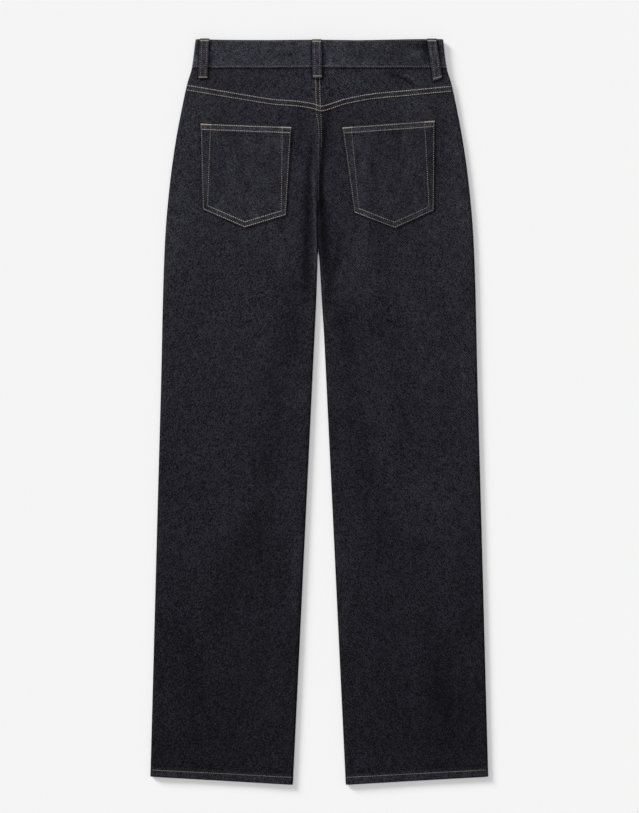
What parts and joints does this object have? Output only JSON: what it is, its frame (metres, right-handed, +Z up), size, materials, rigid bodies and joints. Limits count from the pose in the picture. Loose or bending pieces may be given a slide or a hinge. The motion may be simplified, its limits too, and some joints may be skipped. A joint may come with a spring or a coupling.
{
  "type": "straight leg jeans",
  "caption": "Straight leg jeans in black denim, laid flat with the back up: yokes, patch pockets, belt loops, waistband and wide straight legs.",
  "frame": {"origin": "on the surface the jeans lie on, under the middle of their outline", "axes": "+Y from the hems to the waist, +Z up out of the back of the jeans, +X to the wearer's right"},
  "size_m": [0.4798, 1.0586, 0.0139],
  "materials": {
    "denim_panel": "black twill denim, matt, faintly faded on the folds",
    "denim_yoke": "black twill denim, matt",
    "denim_pocket": "black twill denim, matt, worn at the edges",
    "denim_waistband": "black twill denim, matt, two layers",
    "denim_loop": "black twill denim folded to a strip",
    "thread_grey": "grey and tan topstitching thread",
    "thread_gold": "golden bartack thread",
    "button_metal": "aged satin metal"
  },
  "bodies": {
    "root": {"back_leg_left": "denim_panel", "back_leg_right": "denim_panel", "front_leg_left": "denim_panel", "front_leg_right": "denim_panel", "yoke_left": "denim_yoke", "yoke_right": "denim_yoke", "front_pocket_facing_left": "denim_pocket", "front_pocket_facing_right": "denim_pocket", "back_pocket_left": "denim_pocket", "back_pocket_right": "denim_pocket", "waistband": "denim_waistband", "belt_loop_back_left": "denim_loop", "belt_loop_back_centre": "denim_loop", "belt_loop_back_right": "denim_loop", "belt_loop_front_left": "denim_loop", "belt_loop_front_right": "denim_loop", "button": "button_metal"}
  },
  "joints": []
}
